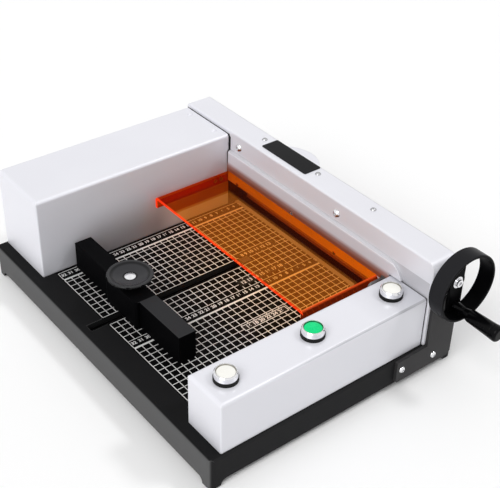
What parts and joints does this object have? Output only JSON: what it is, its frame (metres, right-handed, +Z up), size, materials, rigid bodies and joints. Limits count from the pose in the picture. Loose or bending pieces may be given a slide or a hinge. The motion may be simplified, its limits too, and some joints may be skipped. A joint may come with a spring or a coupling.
{
  "type": "electric paper cutter",
  "caption": "Electric guillotine paper cutter with a gridded table, sliding back gauge, hinged see-through guard, hand-cranked clamp and motor-driven slanting blade.",
  "frame": {"origin": "bottom centre of the outer box, on the plane of the rubber pads", "axes": "+X along the cut to the handwheel side, +Y away from the operator, +Z up"},
  "size_m": [0.5856, 0.3923, 0.186],
  "materials": {
    "cover_paint": "satin light silver paint",
    "table_black": "satin black with white printed grid",
    "bracket_grey": "satin dark grey",
    "black_plastic": "matte black",
    "plate_black": "bare black plate",
    "rubber_black": "matte",
    "chrome": "polished",
    "steel": "machined",
    "blade_steel": "ground",
    "bronze": "plain bearing bronze",
    "cast_grey": "grey paint",
    "motor_alu": "cast",
    "guard_orange": "clear orange acrylic with glowing edges",
    "stick_white": "plain",
    "board_green": "printed board",
    "lens_white": "milky white",
    "lens_green": "clear green",
    "bright_cap": "bright"
  },
  "bodies": {
    "frame": {"base_tray": "table_black", "foot_pads": "rubber_black", "cutting_stick": "stick_white", "left_cover": "cover_paint", "right_cover": "cover_paint", "gantry_shell": "cover_paint", "rear_cover": "cover_paint", "top_screws": "cover_paint", "front_screws": "chrome", "rear_screws": "chrome", "label_plate": "plate_black", "side_bracket": "bracket_grey", "bracket_screws": "chrome", "portal_frame": "cast_grey", "frame_bolts": "steel", "left_clamp_guide": "steel", "right_clamp_guide": "steel", "gear_bracket": "cast_grey", "screw_bush": "bronze", "shaft_bush": "bronze", "bearing_flange": "steel", "drive_bush": "bronze", "motor": "motor_alu", "gearbox": "motor_alu", "gearbox_bracket": "cast_grey", "control_board": "board_green", "power_inlet": "black_plastic", "button_bezels": "chrome", "button_gaskets": "rubber_black", "contact_blocks": "black_plastic", "guard_bracket": "steel", "guard_pivots": "steel"},
    "guard": {"safety_guard": "guard_orange", "guard_stop": "steel"},
    "gauge": {"back_gauge": "table_black", "gauge_key": "steel", "gauge_stud": "steel"},
    "knob": {"gauge_knob": "black_plastic", "knob_cap": "bright_cap"},
    "clamp": {"clamp_beam": "steel", "clamp_nut": "bronze"},
    "screw": {"clamp_screw": "steel", "crown_gear": "steel"},
    "wheel": {"cross_shaft": "steel", "shaft_pinion": "steel", "handwheel": "black_plastic", "hub_bolt": "chrome", "crank_spindle": "steel"},
    "grip": {"crank_grip": "black_plastic"},
    "blade_slide_body": {"blade_carrier": "steel", "blade": "blade_steel", "blade_screws": "steel", "guide_pins": "steel"},
    "drive": {"drive_shaft": "steel", "drive_pinion": "steel"},
    "button_a": {"front_button": "lens_white"},
    "button_b": {"middle_button": "lens_green"},
    "button_c": {"rear_button": "lens_white"}
  },
  "joints": [
    {"name": "guard_lift", "type": "hinge", "parent": "frame", "child": "guard", "pos_m": [-0.03375, 0.10315, 0.1], "axis": [-1, 0, 0], "range_deg": [0, 80]},
    {"name": "gauge_slide", "type": "slide", "parent": "frame", "child": "gauge", "axis": [0, 1, 0], "range_m": [-0.05, 0.155]},
    {"name": "knob_turn", "type": "hinge", "parent": "gauge", "child": "knob", "pos_m": [-0.06225, -0.12285, 0.0915], "axis": [0, 0, 1], "range_deg": [-180, 180]},
    {"name": "handwheel_turn", "type": "hinge", "parent": "frame", "child": "wheel", "pos_m": [0.21625, 0.15115, 0.141], "axis": [-1, 0, 0], "range_deg": [0, 3690]},
    {"name": "grip_spin", "type": "hinge", "parent": "wheel", "child": "grip", "pos_m": [0.25625, 0.15115, 0.1075], "axis": [1, 0, 0], "continuous": true},
    {"name": "screw_spin", "type": "hinge", "parent": "frame", "child": "screw", "pos_m": [-0.07275, 0.15115, 0.1265], "axis": [0, 0, 1], "range_deg": [-1, 1846]},
    {"name": "clamp_slide", "type": "slide", "parent": "frame", "child": "clamp", "axis": [0, 0, -1], "range_m": [-0.0001, 0.0411]},
    {"name": "blade_slide", "type": "slide", "parent": "frame", "child": "blade_slide_body", "axis": [-0.5, 0, -0.866], "range_m": [0, 0.05081]},
    {"name": "pinion_spin", "type": "hinge", "parent": "frame", "child": "drive", "pos_m": [-0.23675, 0.13915, 0.1035], "axis": [0, 1, 0], "range_deg": [-1, 196]},
    {"name": "front_button_press", "type": "slide", "parent": "frame", "child": "button_a", "axis": [0, 0, -1], "range_m": [0, 0.002], "stiffness_N_per_m": 400, "springref_m": -0.002},
    {"name": "middle_button_press", "type": "slide", "parent": "frame", "child": "button_b", "axis": [0, 0, -1], "range_m": [0, 0.002], "stiffness_N_per_m": 400, "springref_m": -0.002},
    {"name": "rear_button_press", "type": "slide", "parent": "frame", "child": "button_c", "axis": [0, 0, -1], "range_m": [0, 0.002], "stiffness_N_per_m": 400, "springref_m": -0.002}
  ],
  "couplings": [
    {"joint": "screw_spin", "follows": "handwheel_turn", "ratio": 0.5},
    {"joint": "clamp_slide", "follows": "handwheel_turn", "m_per_rad": 0.00063662},
    {"joint": "pinion_spin", "follows": "blade_slide", "rad_per_m": 66.667}
  ]
}
